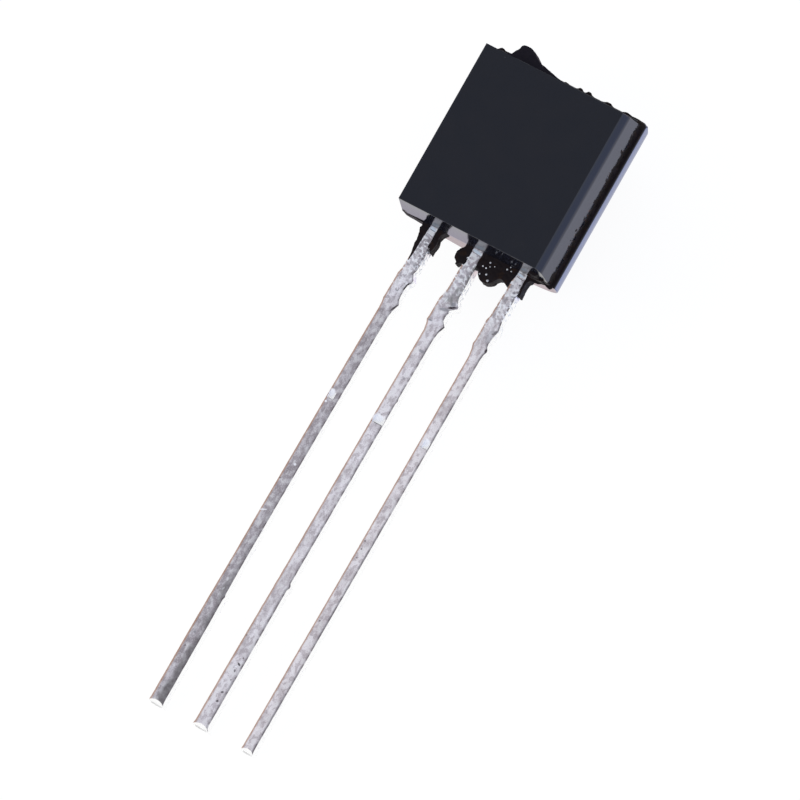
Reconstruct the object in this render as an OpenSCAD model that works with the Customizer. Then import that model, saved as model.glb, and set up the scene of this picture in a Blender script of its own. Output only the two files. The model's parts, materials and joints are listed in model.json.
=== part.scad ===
// Small-signal transistor in a TO-92 package, lying on its rounded back and its lead tips.
//
// Everything is drawn in the package's own frame first: X across the three leads, Y up the
// package, Z out of the flat face, with Z = 0 in the middle of the lead frame's sheet and Y = 0
// where the leads leave the body. at_rest() then tilts the whole part onto the surface it lies on.

/* [Front half of the body] */
// Depth from the flat face to the middle of the leads
flat_to_leads = 1.23; // [1.0:0.01:1.45]
// Width of the front half where the two halves of the mould met
front_w = 4.08; // [3.6:0.01:4.1]
// Height of the front half where the two halves of the mould met
front_h = 4.36; // [4.1:0.01:4.45]
// Draft of the front half's sides
front_draft = 5.5; // [0.5:0.1:6]
// Draft of the front half's ends
front_end_draft = 4.3; // [1:0.1:6]
// Width of the chamfer along the flat face's edge on the base lead's side
chamfer_w = 0.12; // [0.04:0.01:0.2]
// Depth of that chamfer
chamfer_d = 0.19; // [0.04:0.01:0.3]

/* [Back half of the body] */
// Width of the back half where the two halves of the mould met
back_w = 4.32; // [4.15:0.01:4.8]
// Height of the back half where the two halves of the mould met
back_h = 4.46; // [4.46:0.01:5.0]
// Depth from the middle of the leads to the back
leads_to_back = 2.2; // [1.8:0.01:2.4]
// Draft of the back half's ends
back_draft = 4; // [1:0.5:8]
// Draft of the back half's flanks before they run into the round back
flank_draft = 9.5; // [4:0.5:11]
// Radius of the back half's top corner on the emitter's side
emitter_corner_r = 0.3; // [0.05:0.01:0.4]
// Radius of the back half's top corner on the base lead's side
base_corner_r = 0.12; // [0.05:0.01:0.3]

/* [Lead frame] */
// How far the lead frame lay off the middle of the mould, towards the base lead
frame_shift = 0.06; // [-0.1:0.01:0.1]
// How far the lead frame lay turned in the mould, in degrees, its tips towards the emitter's side
frame_turn = 0.7; // [-1:0.1:1]
// Thickness of the lead frame's sheet
sheet_t = 0.36; // [0.3:0.01:0.45]
// Width of a lead
lead_w = 0.31; // [0.3:0.01:0.45]
// Distance from one lead to the next
pitch = 1.27; // [1.25:0.01:1.35]
// Length of the leads below the body
lead_len = 13; // [8:0.1:15]
// Distance below the body at which the tie bars were cut away
tie_bar_y = 1.68; // [1.4:0.01:2.2]
// Width of the tie bars that joined the leads
tie_bar_w = 0.68; // [0.4:0.01:0.9]
// Length of the stubs that the cut tie bars left between the leads
tie_stub = 0.08; // [0.03:0.01:0.14]
// Distance below the body of the small dent in each lead
dent_y = 4.63; // [3:0.01:7]
// Radius of the tool that pressed the dents
dent_r = 0.3; // [0.2:0.01:0.5]
// Depth of the dents
dent_depth = 0.03; // [0.01:0.005:0.06]

/* [Lead frame inside the body] */
// Height of the barbs above the bottom of the body
barb_y = 0.6; // [0.4:0.01:0.7]
// Height of a barb
barb_h = 0.26; // [0.15:0.01:0.3]
// How far a barb stands out of its lead
barb_out = 0.11; // [0.05:0.01:0.15]
// Width of a bonding post
post_w = 0.58; // [0.5:0.01:0.64]
// Height of a bonding post
post_h = 0.9; // [0.7:0.01:1.1]
// Bottom of the bonding posts above the bottom of the body
post_y = 1.5; // [1.4:0.01:1.7]
// Width of the paddle that carries the die
paddle_w = 1.48; // [1.2:0.01:1.52]
// Height of the paddle
paddle_h = 2.1; // [1.95:0.01:2.3]
// Bottom of the paddle above the bottom of the body
paddle_y = 1.35; // [1.25:0.01:1.5]
// Height of the shoulders that widen the middle lead to its paddle
shoulder_h = 0.32; // [0.2:0.01:0.36]
// Radius of the hole in the paddle that the resin grips
grip_hole_r = 0.2; // [0.15:0.01:0.24]
// Distance of that hole from the top of the paddle
grip_hole_drop = 0.42; // [0.35:0.01:0.5]

/* [Die and bond wires] */
// Side of the die
die_w = 0.48; // [0.35:0.01:0.55]
// Thickness of the die
die_t = 0.22; // [0.15:0.01:0.28]
// Height of the die's middle above the bottom of the paddle
die_y = 0.75; // [0.6:0.01:0.9]
// Thickness of the solder under the die
solder_t = 0.03; // [0.02:0.005:0.05]
// How far the solder runs out past the die
solder_out = 0.04; // [0.02:0.01:0.08]
// Diameter of a bond wire
wire_d = 0.038; // [0.03:0.002:0.05]
// Height of a bond wire's loop above the die
loop_h = 0.26; // [0.15:0.01:0.4]
// Diameter of the ball that bonds a wire to the die
ball_d = 0.1; // [0.08:0.01:0.12]
// Height of the ball, and of the pad that bonds the other end to its post
bond_h = 0.045; // [0.04:0.005:0.06]
// Distance of each ball from the die's middle, across the part
pad_x = 0.12; // [0.08:0.01:0.14]
// Distance of each ball from the die's middle, along the part
pad_y = 0.09; // [0:0.01:0.12]

/* [Resin left by moulding] */
// Distance of the broken gate's tip from the middle of the package
gate_x = 1.35; // [1.2:0.01:1.6]
// Length of the broken gate along the top
gate_w = 1.3; // [0.8:0.01:1.5]
// Height of the broken gate above the top
gate_h = 0.35; // [0.1:0.01:0.5]
// Thickness of the broken gate
gate_t = 0.5; // [0.2:0.01:0.8]
// Width of the widest resin wing beside an outer lead
wing_w = 0.14; // [0.1:0.01:0.3]
// Length of the longest resin wing
wing_len = 0.95; // [0.4:0.01:1.1]
// Radius of the resin lump between the middle lead and the base lead
lump_r = 0.25; // [0.2:0.01:0.3]
// How far the lump reaches below the body
lump_len = 0.59; // [0.45:0.01:0.7]

/* [Hidden] */
$fn = 64;

// The mould closed on the front face of the lead frame, and the two halves meet there
parting_z = sheet_t / 2;
// How deep resin wings, lumps and the gate start inside the body
root = 0.25;
// How far a cutting profile runs past what it cuts
past = 0.5;
back_y_rise = (leads_to_back + parting_z) * tan(back_draft);

// How far the lowest lead tip reaches below the body
tip_drop = lead_len * cos(frame_turn) + (pitch + lead_w / 2) * abs(sin(frame_turn));

// Lying at rest: the back's lower edge and the lowest lead tip touch the surface
rest_tilt = atan((leads_to_back - sheet_t / 2) / (tip_drop + back_y_rise));
rest_lift = tip_drop * sin(rest_tilt) + sheet_t / 2 * cos(rest_tilt);
gate_back = parting_z - gate_t;
y_low = -tip_drop * cos(rest_tilt) - sheet_t / 2 * sin(rest_tilt);
y_high_back = (back_h - back_y_rise) * cos(rest_tilt) + leads_to_back * sin(rest_tilt);
y_high_gate = (back_h + gate_h) * cos(rest_tilt) - gate_back * sin(rest_tilt);
rest_slide = -(y_low + max(y_high_back, y_high_gate)) / 2;

// Round back: the arc that the drafted flanks run into
back_r = (back_w / 2 - (parting_z + leads_to_back) * tan(flank_draft))
         / (1 / cos(flank_draft) - tan(flank_draft));
back_c = back_r - leads_to_back;

// Front half: where the wall beside the base lead ends and the chamfer to the flat face starts,
// and where the wall beside the emitter lead meets the flat face in a sharp edge
wall_z = flat_to_leads - chamfer_d;
wall_x = front_w / 2 - (wall_z - parting_z) * tan(front_draft);
edge_x = front_w / 2 - (flat_to_leads - parting_z) * tan(front_draft);
front_rise = (flat_to_leads - parting_z) * tan(front_end_draft);

// Die stack
solder_top = sheet_t / 2 + solder_t;
die_top = solder_top + die_t;
die_cy = paddle_y + die_y;

// Bond wires: a smooth curve from ball to post, in the upright plane through both
wire_rings = 18;
wire_sides = 10;
post_cy = post_y + post_h / 2;

function bezier(a, b, c, d, t) =
    pow(1 - t, 3) * a + 3 * pow(1 - t, 2) * t * b + 3 * (1 - t) * t * t * c + pow(t, 3) * d;
function bezier_way(a, b, c, d, t) =
    pow(1 - t, 2) * (b - a) + 2 * (1 - t) * t * (c - b) + t * t * (d - c);
function unit(v) = v / norm(v);
// Points listed counter-clockwise for the right-hand side, or mirrored for the left
function on_side(points, side) =
    side > 0 ? points : [for (i = [len(points) - 1:-1:0]) [-points[i][0], points[i][1]]];

module at_rest() {
    translate([0, rest_slide, rest_lift]) rotate([rest_tilt, 0, 0]) children();
}

// The lead frame and all that it carries lie a little to one side and turned in the resin
module on_frame() {
    translate([frame_shift, 0, 0]) rotate([0, 0, -frame_turn]) children();
}

// A profile in X and Z, drawn out along Y from y0 to y1
module along_y(y0, y1) {
    translate([0, y1, 0]) rotate([90, 0, 0]) linear_extrude(y1 - y0) children();
}

// A profile in Y and Z, drawn out along X to both sides
module along_x(w) {
    rotate([90, 0, 90]) linear_extrude(w, center = true) children();
}

// The lead frame is cut from one sheet
module sheet() {
    translate([0, 0, -sheet_t / 2]) linear_extrude(sheet_t) children();
}

module front_half() {
    intersection() {
        along_y(-past, front_h + past)
            polygon([[-front_w / 2, parting_z], [front_w / 2, parting_z], [wall_x, wall_z],
                     [wall_x - chamfer_w, flat_to_leads], [-edge_x, flat_to_leads]]);
        along_x(front_w + 2 * past)
            polygon([[0, parting_z], [front_h, parting_z], [front_h - front_rise, flat_to_leads],
                     [front_rise, flat_to_leads]]);
    }
}

module back_half() {
    tangent_x = back_r * cos(flank_draft);
    tangent_z = back_c - back_r * sin(flank_draft);
    intersection() {
        along_y(-past, back_h + past) {
            polygon([[back_w / 2, parting_z], [-back_w / 2, parting_z], [-tangent_x, tangent_z],
                     [0, back_c], [tangent_x, tangent_z]]);
            translate([0, back_c]) intersection() {
                circle(back_r);
                translate([-back_r, -2 * back_r]) square([2 * back_r, 2 * back_r]);
            }
        }
        along_x(back_w + 2 * past)
            polygon([[0, parting_z], [back_y_rise, -leads_to_back],
                     [back_h - back_y_rise, -leads_to_back], [back_h, parting_z]]);
        translate([0, 0, -leads_to_back - past]) linear_extrude(leads_to_back + parting_z + 2 * past)
            back_outline();
    }
}

// The back half seen from the front: its two top corners are round
module back_outline() {
    difference() {
        translate([-back_w / 2, -past]) square([back_w, back_h + past]);
        square_corner(-1, emitter_corner_r);
        square_corner(1, base_corner_r);
    }
}

// What a round corner of that radius takes off; side is -1 for the emitter's, 1 for the base's
module square_corner(side, r) {
    translate([side * (back_w / 2 - r), back_h - r]) difference() {
        translate([side > 0 ? 0 : -r - past, 0]) square([r + past, r + past]);
        circle(r);
    }
}

// The gate broke off unevenly: a steep side towards the corner, a long slope towards the middle
module gate_stub() {
    translate([0, back_h, gate_back]) linear_extrude(gate_t)
        polygon([[-gate_x + gate_w * 0.8, -root], [-gate_x + gate_w * 0.8, 0],
                 [-gate_x + gate_w * 0.38, gate_h * 0.33], [-gate_x + gate_w * 0.17, gate_h * 0.88],
                 [-gate_x, gate_h], [-gate_x - gate_w * 0.08, gate_h * 0.85],
                 [-gate_x - gate_w * 0.1, gate_h * 0.5], [-gate_x - gate_w * 0.15, gate_h * 0.3],
                 [-gate_x - gate_w * 0.15, -root]]);
}

// A thin wing of resin down the side of a lead; side is -1 for its left side, 1 for its right
module wing(lead_x, side, w, reach) {
    x = lead_w / 2;
    sheet() translate([lead_x, 0])
        polygon(on_side([[0, root], [0, -reach], [x, -reach], [x + 0.45 * w, -0.85 * reach],
                         [x + 0.85 * w, -0.5 * reach], [x + w, -0.1 * reach], [x + w, root]], side));
}

module lump() {
    lump_x = lead_w / 2 + 1.3 * lump_r;
    web = lump_len * 0.58;
    sheet() {
        translate([0, -web]) square([pitch, web + root]);
        translate([lump_x, -lump_len + lump_r]) circle(lump_r);
    }
}

module small_lump() {
    r = lump_r * 0.64;
    drop = 1.8 * r;
    sheet() {
        translate([-lead_w / 2 - r * 0.8, -drop]) circle(r);
        translate([-lead_w / 2 - r, -drop]) square([r, drop + root]);
    }
}

module resin_on_leads() {
    wing(-pitch, -1, wing_w * 0.6, wing_len);
    wing(-pitch, 1, wing_w, wing_len * 0.6);
    wing(pitch, 1, wing_w * 0.45, wing_len * 0.55);
    small_lump();
    lump();
}

module body() {
    color([0.13, 0.14, 0.16]) at_rest() difference() {
        union() {
            front_half();
            back_half();
            gate_stub();
            on_frame() resin_on_leads();
        }
        on_frame() {
            emitter_lead_metal();
            collector_lead_metal();
            base_lead_metal();
            solder_slab();
            die_block();
            bond_wire(-1);
            bond_wire(1);
        }
    }
}

// One edge of a lead from its tip up. Where a tie bar was cut away it has two points with a
// hollow between them, and stub is their length
function lead_edge(stub, y_top) =
    let (x = lead_w / 2, low = -tie_bar_y - tie_bar_w / 2, high = -tie_bar_y + tie_bar_w / 2)
    [[x, -lead_len], [x, low - stub], [x + stub, low], [x + 0.35 * stub, -tie_bar_y],
     [x + stub, high], [x, high + stub], [x, y_top]];

// A lead from its tip up to y_top, in the plane of the sheet, with a stub on each side or none
module lead_strip(y_top, left_stub, right_stub) {
    polygon(concat(on_side(lead_edge(right_stub, y_top), 1), on_side(lead_edge(left_stub, y_top), -1)));
}

module dent() {
    translate([0, -dent_y, sheet_t / 2 + dent_r - dent_depth]) rotate([0, 90, 0])
        cylinder(h = lead_w + 2 * past, r = dent_r, center = true);
}

// An outer lead: barbs that lock it in the resin and a post that the wire is bonded to
module outer_lead_metal(side) {
    translate([side * pitch, 0, 0]) difference() {
        sheet() {
            lead_strip(post_y + post_h / 2, side > 0 ? tie_stub : 0, side > 0 ? 0 : tie_stub);
            translate([-lead_w / 2 - barb_out, barb_y]) square([lead_w + 2 * barb_out, barb_h]);
            translate([-post_w / 2, post_y]) square([post_w, post_h]);
        }
        dent();
    }
}

module emitter_lead_metal() {
    outer_lead_metal(-1);
}

module base_lead_metal() {
    outer_lead_metal(1);
}

// The middle lead widens to the paddle that carries the die
module collector_lead_metal() {
    difference() {
        sheet() difference() {
            union() {
                lead_strip(paddle_y, tie_stub, tie_stub);
                translate([-lead_w / 2 - barb_out, barb_y - barb_h])
                    square([lead_w + 2 * barb_out, barb_h]);
                polygon([[-lead_w / 2, paddle_y - shoulder_h], [lead_w / 2, paddle_y - shoulder_h],
                         [paddle_w / 2, paddle_y], [paddle_w / 2, paddle_y + paddle_h],
                         [-paddle_w / 2, paddle_y + paddle_h], [-paddle_w / 2, paddle_y]]);
            }
            translate([0, paddle_y + paddle_h - grip_hole_drop]) circle(grip_hole_r);
        }
        dent();
    }
}

module emitter_lead() {
    color([0.78, 0.78, 0.82]) at_rest() on_frame() emitter_lead_metal();
}

module collector_lead() {
    color([0.80, 0.80, 0.84]) at_rest() on_frame() collector_lead_metal();
}

module base_lead() {
    color([0.82, 0.82, 0.86]) at_rest() on_frame() base_lead_metal();
}

module solder_slab() {
    w = die_w + 2 * solder_out;
    translate([-w / 2, die_cy - w / 2, sheet_t / 2]) cube([w, w, solder_t]);
}

module die_block() {
    translate([-die_w / 2, die_cy - die_w / 2, solder_top]) cube([die_w, die_w, die_t]);
}

module die_solder() {
    color([0.66, 0.64, 0.60]) at_rest() on_frame() solder_slab();
}

module silicon_die() {
    color([0.35, 0.37, 0.42]) at_rest() on_frame() die_block();
}

// side is -1 for the emitter's wire and 1 for the base's
module bond_wire(side) {
    start = [side * pad_x, die_cy - side * pad_y, die_top + bond_h / 2];
    end = [side * pitch, post_cy, sheet_t / 2 + wire_d / 2 + bond_h * 0.05];
    run = [end[0] - start[0], end[1] - start[1], 0];
    over = unit(run);
    across = cross(over, [0, 0, 1]);
    knee = start + [0, 0, loop_h * 1.25];
    reach = end - over * norm(run) * 0.45 + [0, 0, loop_h * 0.35];
    rings = [for (i = [0:wire_rings]) let (t = i / wire_rings,
                 at = bezier(start, knee, reach, end, t),
                 way = unit(bezier_way(start, knee, reach, end, t)),
                 up = cross(across, way))
             for (k = [0:wire_sides - 1]) let (a = 360 * k / wire_sides)
                 at + wire_d / 2 * (cos(a) * across + sin(a) * up)];
    last = wire_rings * wire_sides;
    faces = concat(
        [[for (k = [0:wire_sides - 1]) k]],
        [[for (k = [wire_sides - 1:-1:0]) last + k]],
        [for (i = [0:wire_rings - 1]) for (k = [0:wire_sides - 1])
            let (a = i * wire_sides + k, b = i * wire_sides + (k + 1) % wire_sides)
            [a, a + wire_sides, b + wire_sides, b]]);
    polyhedron(rings, faces);
    translate([start[0], start[1], die_top]) cylinder(h = bond_h, d = ball_d);
    translate([end[0], end[1], sheet_t / 2]) cylinder(h = bond_h, d = ball_d);
}

module emitter_bond_wire() {
    color([0.85, 0.65, 0.25]) at_rest() on_frame() bond_wire(-1);
}

module base_bond_wire() {
    color([0.85, 0.65, 0.25]) at_rest() on_frame() bond_wire(1);
}

body();
emitter_lead();
collector_lead();
base_lead();
die_solder();
silicon_die();
emitter_bond_wire();
base_bond_wire();
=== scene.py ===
# %% [markdown]
# A small transistor in a TO-92 package, lying flat face up: a black epoxy body on three tinned
# leads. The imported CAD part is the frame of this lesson. It gives every size and place, and each
# visible piece below is modelled over the solid that it stands for.

import json
import math

import bmesh
import bpy
from mathutils import Matrix, Vector, noise

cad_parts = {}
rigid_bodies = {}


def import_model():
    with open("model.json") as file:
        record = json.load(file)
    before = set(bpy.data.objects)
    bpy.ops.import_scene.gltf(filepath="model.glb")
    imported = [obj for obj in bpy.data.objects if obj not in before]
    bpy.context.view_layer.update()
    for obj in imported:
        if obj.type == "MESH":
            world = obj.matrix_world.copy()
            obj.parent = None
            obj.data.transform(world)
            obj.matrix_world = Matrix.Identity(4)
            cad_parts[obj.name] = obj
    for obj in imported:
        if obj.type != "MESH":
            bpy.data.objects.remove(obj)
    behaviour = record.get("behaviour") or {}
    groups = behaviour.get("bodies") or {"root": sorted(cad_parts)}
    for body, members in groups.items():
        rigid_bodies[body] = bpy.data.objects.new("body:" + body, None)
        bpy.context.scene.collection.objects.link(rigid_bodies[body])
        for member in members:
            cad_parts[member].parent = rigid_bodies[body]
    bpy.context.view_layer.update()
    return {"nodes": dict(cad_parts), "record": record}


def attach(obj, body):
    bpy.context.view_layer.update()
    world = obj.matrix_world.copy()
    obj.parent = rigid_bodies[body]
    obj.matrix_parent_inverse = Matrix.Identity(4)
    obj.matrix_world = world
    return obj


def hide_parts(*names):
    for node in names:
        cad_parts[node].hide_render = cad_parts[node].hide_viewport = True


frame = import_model()

# %% [markdown]
# The part lies a little tilted, on the lower edge of its round back and on its lead tips. That
# is awkward to model in, so everything is drawn upright and in millimetres, in the package's own
# frame: X across the leads, Y up the package from the bottom of the body, Z out of the flat
# face, with Z = 0 in the middle of the lead frame's sheet. One matrix lays a finished mesh down
# into its real place. The record's mount on the flat face says how far the part is tilted, and
# the tip of the middle lead says where it lies.

# %% The package's frame
MM = 0.001
LEAD_LEN, LEAD_W, PITCH = 13.0, 0.31, 1.27
# The lead frame lay a little to one side and turned in the mould
FRAME_SHIFT, FRAME_TURN = 0.06, math.radians(0.7)

mounts = {mount["name"]: mount for mount in frame["record"]["mounts"]}
tilt = math.asin(-mounts["marking_face"]["axis"][1])
turn = Matrix.Rotation(tilt, 4, "X")


def upright_box(node):
    """Lowest and highest corner of a CAD node along the package's axes, in millimetres."""
    points = [turn.inverted() @ v.co / MM for v in frame["nodes"][node].data.vertices]
    return Vector(map(min, *points)), Vector(map(max, *points))


lead_low, lead_high = upright_box("collector_lead")
tip_drop = LEAD_LEN * math.cos(FRAME_TURN) + LEAD_W / 2 * math.sin(FRAME_TURN)
origin = Vector((0, lead_low.y + tip_drop, (lead_low.z + lead_high.z) / 2))
lay_down = turn @ Matrix.Translation(origin * MM) @ Matrix.Scale(MM, 4)
body_low, body_high = (corner - origin for corner in upright_box("body"))
BODY_START = (lay_down @ Vector((0, 0, -LEAD_W))).y
print("tilt in degrees:", round(math.degrees(tilt), 2))
print("body from", [round(x, 3) for x in body_low], "to", [round(x, 3) for x in body_high])

# %% [markdown]
# The camera looks at the flat face from a little to its right and a little below, and is rolled
# so that the leads run down to the lower left. It stands far off with a long lens, which keeps
# parallel edges parallel. Much farther than this, a view turned round the part would no longer
# hold it, because such a view keeps the lens and clips what lies beyond 100 times the part's
# half diagonal. The camera's axes are worked out in the package's frame and then laid down.

# %% Camera
VIEW_RIGHT = math.radians(17.46)
VIEW_BELOW = math.radians(7.0)
VIEW_ROLL = math.radians(29.6)
VIEW_WIDTH = 18.70
VIEW_DISTANCE = 800.0
# The middle of the view, measured from the package's origin across the view and up it, and the
# height above it at which the view is VIEW_WIDTH wide
VIEW_ACROSS, VIEW_UP, VIEW_HEIGHT = 0.147, -3.935, 0.3

to_camera = Vector((math.sin(VIEW_RIGHT) * math.cos(VIEW_BELOW), -math.sin(VIEW_BELOW),
                    math.cos(VIEW_RIGHT) * math.cos(VIEW_BELOW)))
level = Vector((math.cos(VIEW_RIGHT), 0, -math.sin(VIEW_RIGHT)))
rise = to_camera.cross(level)
right = level * math.cos(VIEW_ROLL) + rise * math.sin(VIEW_ROLL)
up = rise * math.cos(VIEW_ROLL) - level * math.sin(VIEW_ROLL)
target = level * VIEW_ACROSS + rise * VIEW_UP + to_camera * VIEW_HEIGHT

camera = bpy.data.objects.new("view_camera", bpy.data.cameras.new("view_camera"))
bpy.context.collection.objects.link(camera)
place = Matrix((right, up, to_camera)).transposed().to_4x4()
place.translation = target + to_camera * VIEW_DISTANCE
camera.matrix_world = lay_down @ place @ Matrix.Scale(1 / MM, 4)
camera.data.lens = camera.data.sensor_width * VIEW_DISTANCE / VIEW_WIDTH
camera.data.clip_start = 0.01
camera.data.clip_end = 10
bpy.context.scene.camera = camera
print("camera at", [round(x, 4) for x in camera.matrix_world.translation])

# %% [markdown]
# The studio is white all round, with one grey panel overhead and one wide lamp. The glossy black
# body is drawn almost entirely by what it reflects: the flat face mirrors the panel and stays
# dark, and the edges mirror the floor and the walls and turn pale, a little bluer on the right.
# The floor is plain white to the camera and, away from the body, to gloss, and still takes the shadow.
# What gloss sees of it is painted: a darker pink under the body and a darker blue strip along its
# right side are painted shade of the body's shadow, seen in its reflections, and the lilac and cool
# tints elsewhere are painted reflection.

# %% Nodes for the materials
scene = bpy.context.scene


def new_material(name):
    """An empty node material, its node tree and its output."""
    material = bpy.data.materials.new(name)
    material.use_nodes = True
    tree = material.node_tree
    tree.nodes.clear()
    return material, tree, tree.nodes.new("ShaderNodeOutputMaterial")


def node(tree, kind, links=None, **values):
    """Adds a node. values set its settings, or its inputs where it has an input of that name."""
    made = tree.nodes.new("ShaderNode" + kind)
    for key, value in values.items():
        socket = made.inputs.get(key.replace("_", " "))
        if socket is None:
            setattr(made, key, value)
        else:
            socket.default_value = value
    for key, source in (links or {}).items():
        tree.links.new(source, made.inputs[key])
    return made


def spread(tree, value, low, high, to_low=0.0, to_high=1.0):
    """The value's range from low to high, eased into another range."""
    return node(tree, "MapRange", {"Value": value}, interpolation_type="SMOOTHSTEP",
                From_Min=low, From_Max=high, To_Min=to_low, To_Max=to_high).outputs[0]


def blend(tree, share, first, second):
    """Goes from the first colour to the second. Each is a colour or another node's output."""
    mix = node(tree, "Mix", data_type="RGBA")
    tree.links.new(share, mix.inputs[0])
    for socket, colour in ((mix.inputs[6], first), (mix.inputs[7], second)):
        if isinstance(colour, bpy.types.NodeSocket):
            tree.links.new(colour, socket)
        else:
            socket.default_value = (*colour, 1)
    return mix.outputs[2]


def maths(tree, operation, first, second):
    """A sum or a product of two values, each a number or another node's output."""
    made = node(tree, "Math", operation=operation)
    for socket, value in zip(made.inputs, (first, second)):
        if isinstance(value, bpy.types.NodeSocket):
            tree.links.new(value, socket)
        else:
            socket.default_value = value
    return made.outputs[0]


def times(tree, first, second):
    return maths(tree, "MULTIPLY", first, second)


# %% Floor
FLOOR_SIZE = 1.2
FLOOR_WHITE = (0.82, 0.82, 0.82, 1)
SHADOW_SHARE = (0.12, 0.12, 0.12, 1)
FLOOR_LIFT = 0.92
WHITE, LILAC, PINK = (1, 1, 1), (0.9, 0.85, 1), (0.76, 0.65, 0.68)
BLUE, COOL, FAR = (0.52, 0.6, 1), (0.82, 0.84, 1), (0.55, 0.63, 0.95)
# Where each tint sets in, along the floor from the body's near end and across it
LOWER_START, LOWER_SIDE = (BODY_START - 0.8 * MM, BODY_START - 0.4 * MM), (-0.5 * MM, -0.7 * MM)
UNDER_START = (BODY_START - 0.1 * MM, BODY_START + 0.1 * MM)
COOL_SIDE, FAR_SIDE = (1.4 * MM, 1.65 * MM), (6 * MM, 12 * MM)
BLUE_START, BLUE_END = (1.95 * MM, 2.1 * MM), (2.9 * MM, 2.5 * MM)

bpy.ops.object.select_all(action="DESELECT")
bpy.ops.mesh.primitive_plane_add(size=FLOOR_SIZE)
floor = bpy.context.object
floor.name = "floor"
material, tree, output = new_material("pale_floor")
path = node(tree, "LightPath")
paint = node(tree, "BsdfDiffuse", Color=FLOOR_WHITE)
shadow = node(tree, "BsdfDiffuse", Color=SHADOW_SHARE)
lift = node(tree, "Emission", Strength=FLOOR_LIFT)
shown = node(tree, "AddShader", {0: shadow.outputs[0], 1: lift.outputs[0]})
seen = node(tree, "MixShader", {0: path.outputs["Is Camera Ray"], 1: paint.outputs[0],
                                2: shown.outputs[0]})
on_floor = node(tree, "SeparateXYZ", {0: node(tree, "TexCoord").outputs["Object"]})
across, along = on_floor.outputs["X"], on_floor.outputs["Y"]
lower_left = times(tree, spread(tree, along, *LOWER_START), spread(tree, across, *LOWER_SIDE))
under = spread(tree, along, *UNDER_START)
beside = times(tree, spread(tree, across, *BLUE_START), spread(tree, across, *BLUE_END))
# Painted shade and painted reflection, seen only by gloss: PINK under the body and BLUE along its right side
# stand for the body's shadow on the floor, and LILAC, COOL and FAR tint the reflections elsewhere.
tint = blend(tree, under, blend(tree, lower_left, WHITE, LILAC), PINK)
tint = blend(tree, times(tree, under, spread(tree, across, *COOL_SIDE)), tint, COOL)
tint = blend(tree, times(tree, under, beside), tint, BLUE)
tint = blend(tree, times(tree, under, spread(tree, across, *FAR_SIDE)), tint, FAR)
white = node(tree, "Emission", {"Color": tint}, Strength=1.0)
mirrored = node(tree, "Math", {0: path.outputs["Is Glossy Ray"],
                               1: path.outputs["Is Transmission Ray"]}, operation="MAXIMUM")
mixed = node(tree, "MixShader", {0: mirrored.outputs[0], 1: seen.outputs[0], 2: white.outputs[0]})
tree.links.new(mixed.outputs[0], output.inputs["Surface"])
floor.data.materials.append(material)
print("floor", FLOOR_SIZE, "m wide")

# %% Walls and the grey panel
PANEL_AT = (-0.298, -0.023, 0.955)
PANEL_INNER, PANEL_OUTER = math.cos(math.radians(16)), math.cos(math.radians(30))
PANEL_GREY = 0.28

world = bpy.data.worlds.new("studio")
scene.world = world
world.use_nodes = True
tree = world.node_tree
tree.nodes.clear()
direction = node(tree, "TexCoord").outputs["Generated"]
towards = node(tree, "VectorMath", {0: direction}, operation="DOT_PRODUCT")
towards.inputs[1].default_value = PANEL_AT
level_of_light = spread(tree, towards.outputs["Value"], PANEL_OUTER, PANEL_INNER, 1.0, PANEL_GREY)
sideways = node(tree, "SeparateXYZ", {0: direction}).outputs["X"]
colour = blend(tree, spread(tree, sideways, -0.2, 0.7), (0.96, 0.97, 1.0), (0.68, 0.76, 1.0))
background = node(tree, "Background", {"Color": colour, "Strength": level_of_light})
end = tree.nodes.new("ShaderNodeOutputWorld")
tree.links.new(background.outputs[0], end.inputs["Surface"])
print("grey panel at", PANEL_AT)

# %% Lamp
LAMP_SIZE = 0.25
LAMP_POWER = 0.12
LAMP_AT = Vector((-0.28, -0.1, 0.25))

lamp = bpy.data.objects.new("wide_lamp", bpy.data.lights.new("wide_lamp", "AREA"))
bpy.context.collection.objects.link(lamp)
lamp.data.size = LAMP_SIZE
lamp.data.energy = LAMP_POWER
lamp.location = LAMP_AT
lamp.rotation_euler = (-LAMP_AT).to_track_quat("-Z", "Y").to_euler()
scene.view_settings.view_transform = "Standard"
print("lamp", round(LAMP_AT.length, 3), "m away")

# %% [markdown]
# Every finish is a pattern in the package's own millimetres. Object coordinates are metres in
# the tilted frame, so one Mapping node turns them back: it undoes lay_down.

# %% Patterns
PARTING_Z = (lead_high.z - lead_low.z) / 2


def package_place(tree):
    """Where a point of the surface is in the package's frame, in millimetres."""
    coordinates = node(tree, "TexCoord")
    return node(tree, "Mapping", {"Vector": coordinates.outputs["Object"]}, Scale=(1 / MM,) * 3,
                Rotation=(-tilt, 0, 0), Location=-origin).outputs[0]


def mottle(tree, place, size, detail=3, stretch=(1, 1, 1)):
    """Noise with patches of about that size in millimetres, drawn out along an axis by stretch."""
    scaled = node(tree, "Mapping", {"Vector": place}, Scale=[1 / (size * s) for s in stretch])
    return node(tree, "TexNoise", {"Vector": scaled.outputs[0]}, Scale=1.0, Detail=detail).outputs[0]


def bump(tree, height, depth):
    """A bump of that depth in millimetres."""
    return node(tree, "Bump", {"Height": height}, Strength=1.0, Distance=depth * MM).outputs[0]


def spot(tree, place, ragged, x, y, half_w, half_h, lean=0):
    """A mask of a ragged oval on the lead frame's front, leaning by some degrees."""
    near = node(tree, "Mapping", {"Vector": place}, vector_type="TEXTURE", Location=(x, y, PARTING_Z),
                Rotation=(0, 0, math.radians(lean)), Scale=(half_w, half_h, 9))
    distance = node(tree, "VectorMath", {0: near.outputs[0]}, operation="LENGTH").outputs["Value"]
    return spread(tree, maths(tree, "ADD", distance, ragged), 1.8, 1.15)


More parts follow.
